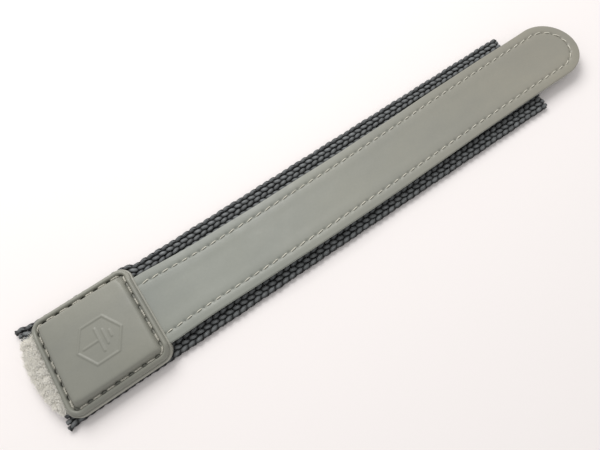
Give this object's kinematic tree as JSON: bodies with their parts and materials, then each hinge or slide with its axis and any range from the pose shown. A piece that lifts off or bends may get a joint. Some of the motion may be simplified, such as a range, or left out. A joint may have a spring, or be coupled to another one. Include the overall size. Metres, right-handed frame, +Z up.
{
  "type": "hook-and-loop wrist strap",
  "caption": "Woven wrist strap with a padded square badge and a stitched leatherette tongue that presses onto a loop tape along its top face.",
  "frame": {"origin": "on the underside of the webbing, below the middle of the badge and on the webbing's centre line", "axes": "+X along the strap from the badge end to the tongue's tip, +Y across it, +Z up out of the face that carries the badge"},
  "size_m": [0.1605, 0.0264, 0.0059],
  "materials": {
    "webbing": "dark slate woven webbing with a coarse ribbed weave",
    "loop_pile": "pale brushed loop pile",
    "hook_tape": "matt hook tape",
    "leatherette": "smooth grey-olive leatherette with a soft sheen",
    "foam": "soft foam",
    "thread": "pale twisted sewing thread"
  },
  "bodies": {
    "badge_end": {"webbing_1": "webbing", "loop_tape_1": "loop_pile", "tongue_1": "leatherette", "hook_tape_1": "hook_tape", "badge_base": "leatherette", "badge_foam": "foam", "badge_cover": "leatherette", "badge_thread": "thread"},
    "strap_2": {"webbing_2": "webbing", "loop_tape_2": "loop_pile"},
    "strap_3": {"webbing_3": "webbing", "loop_tape_3": "loop_pile"},
    "strap_4": {"webbing_4": "webbing", "loop_tape_4": "loop_pile"},
    "strap_5": {"webbing_5": "webbing", "loop_tape_5": "loop_pile"},
    "strap_6": {"webbing_6": "webbing", "loop_tape_6": "loop_pile"},
    "strap_7": {"webbing_7": "webbing", "loop_tape_7": "loop_pile"},
    "strap_8": {"webbing_8": "webbing", "loop_tape_8": "loop_pile"},
    "tongue_2_body": {"tongue_2": "leatherette", "hook_tape_2": "hook_tape"},
    "tongue_3_body": {"tongue_3": "leatherette", "hook_tape_3": "hook_tape"},
    "tongue_4_body": {"tongue_4": "leatherette", "hook_tape_4": "hook_tape"},
    "tongue_5_body": {"tongue_5": "leatherette", "hook_tape_5": "hook_tape"},
    "tongue_6_body": {"tongue_6": "leatherette", "hook_tape_6": "hook_tape"},
    "tongue_7_body": {"tongue_7": "leatherette", "hook_tape_7": "hook_tape"},
    "tongue_8_body": {"tongue_8": "leatherette", "hook_tape_8": "hook_tape"},
    "tongue_9_body": {"tongue_9": "leatherette", "hook_tape_9": "hook_tape"},
    "tongue_10_body": {"tongue_10": "leatherette", "hook_tape_10": "hook_tape"},
    "tongue_11_body": {"tongue_11": "leatherette", "hook_tape_11": "hook_tape"},
    "tongue_12_body": {"tongue_12": "leatherette", "hook_tape_12": "hook_tape"},
    "tongue_13_body": {"tongue_13": "leatherette", "hook_tape_13": "hook_tape"}
  },
  "joints": [
    {"name": "wrap_1", "type": "hinge", "parent": "badge_end", "child": "strap_2", "pos_m": [0.0185, 0, 0], "axis": [0, 1, 0], "range_deg": [0, 36]},
    {"name": "wrap_2", "type": "hinge", "parent": "strap_2", "child": "strap_3", "pos_m": [0.0349, 0, 0], "axis": [0, 1, 0], "range_deg": [0, 36]},
    {"name": "wrap_3", "type": "hinge", "parent": "strap_3", "child": "strap_4", "pos_m": [0.0513, 0, 0], "axis": [0, 1, 0], "range_deg": [0, 36]},
    {"name": "wrap_4", "type": "hinge", "parent": "strap_4", "child": "strap_5", "pos_m": [0.0677, 0, 0], "axis": [0, 1, 0], "range_deg": [0, 36]},
    {"name": "wrap_5", "type": "hinge", "parent": "strap_5", "child": "strap_6", "pos_m": [0.0841, 0, 0], "axis": [0, 1, 0], "range_deg": [0, 36]},
    {"name": "wrap_6", "type": "hinge", "parent": "strap_6", "child": "strap_7", "pos_m": [0.1005, 0, 0], "axis": [0, 1, 0], "range_deg": [0, 36]},
    {"name": "wrap_7", "type": "hinge", "parent": "strap_7", "child": "strap_8", "pos_m": [0.1169, 0, 0], "axis": [0, 1, 0], "range_deg": [0, 36]},
    {"name": "peel_1", "type": "hinge", "parent": "badge_end", "child": "tongue_2_body", "pos_m": [0.0145, 0, 0.0035], "axis": [0, -1, 0], "range_deg": [0, 50]},
    {"name": "tongue_wrap_1", "type": "hinge", "parent": "tongue_2_body", "child": "tongue_3_body", "pos_m": [0.0185, 0, 0], "axis": [0, 1, 0], "range_deg": [0, 36]},
    {"name": "peel_2", "type": "hinge", "parent": "tongue_3_body", "child": "tongue_4_body", "pos_m": [0.0267, 0, 0.0035], "axis": [0, -1, 0], "range_deg": [0, 35]},
    {"name": "tongue_wrap_2", "type": "hinge", "parent": "tongue_4_body", "child": "tongue_5_body", "pos_m": [0.0349, 0, 0], "axis": [0, 1, 0], "range_deg": [0, 36]},
    {"name": "peel_3", "type": "hinge", "parent": "tongue_5_body", "child": "tongue_6_body", "pos_m": [0.0431, 0, 0.0035], "axis": [0, -1, 0], "range_deg": [0, 35]},
    {"name": "tongue_wrap_3", "type": "hinge", "parent": "tongue_6_body", "child": "tongue_7_body", "pos_m": [0.0513, 0, 0], "axis": [0, 1, 0], "range_deg": [0, 36]},
    {"name": "peel_4", "type": "hinge", "parent": "tongue_7_body", "child": "tongue_8_body", "pos_m": [0.0595, 0, 0.0035], "axis": [0, -1, 0], "range_deg": [0, 35]},
    {"name": "tongue_wrap_4", "type": "hinge", "parent": "tongue_8_body", "child": "tongue_9_body", "pos_m": [0.0677, 0, 0], "axis": [0, 1, 0], "range_deg": [0, 36]},
    {"name": "tongue_wrap_5", "type": "hinge", "parent": "tongue_9_body", "child": "tongue_10_body", "pos_m": [0.0841, 0, 0], "axis": [0, 1, 0], "range_deg": [0, 36]},
    {"name": "tongue_wrap_6", "type": "hinge", "parent": "tongue_10_body", "child": "tongue_11_body", "pos_m": [0.1005, 0, 0], "axis": [0, 1, 0], "range_deg": [0, 36]},
    {"name": "tongue_wrap_7", "type": "hinge", "parent": "tongue_11_body", "child": "tongue_12_body", "pos_m": [0.1169, 0, 0], "axis": [0, 1, 0], "range_deg": [0, 36]},
    {"name": "tongue_wrap_8", "type": "hinge", "parent": "tongue_12_body", "child": "tongue_13_body", "pos_m": [0.1305, 0, 0], "axis": [0, 1, 0], "range_deg": [0, 36]}
  ],
  "couplings": [
    {"joint": "wrap_2", "follows": "wrap_1", "ratio": 1},
    {"joint": "wrap_3", "follows": "wrap_1", "ratio": 1},
    {"joint": "wrap_4", "follows": "wrap_1", "ratio": 1},
    {"joint": "wrap_5", "follows": "wrap_1", "ratio": 1},
    {"joint": "wrap_6", "follows": "wrap_1", "ratio": 1},
    {"joint": "wrap_7", "follows": "wrap_1", "ratio": 1},
    {"joint": "tongue_wrap_1", "follows": "wrap_1", "ratio": 1},
    {"joint": "peel_2", "follows": "peel_1", "ratio": 0.7},
    {"joint": "tongue_wrap_2", "follows": "wrap_1", "ratio": 1},
    {"joint": "peel_3", "follows": "peel_1", "ratio": 0.7},
    {"joint": "tongue_wrap_3", "follows": "wrap_1", "ratio": 1},
    {"joint": "peel_4", "follows": "peel_1", "ratio": 0.7},
    {"joint": "tongue_wrap_4", "follows": "wrap_1", "ratio": 1},
    {"joint": "tongue_wrap_5", "follows": "wrap_1", "ratio": 1},
    {"joint": "tongue_wrap_6", "follows": "wrap_1", "ratio": 1},
    {"joint": "tongue_wrap_7", "follows": "wrap_1", "ratio": 1},
    {"joint": "tongue_wrap_8", "follows": "wrap_1", "ratio": 1}
  ]
}
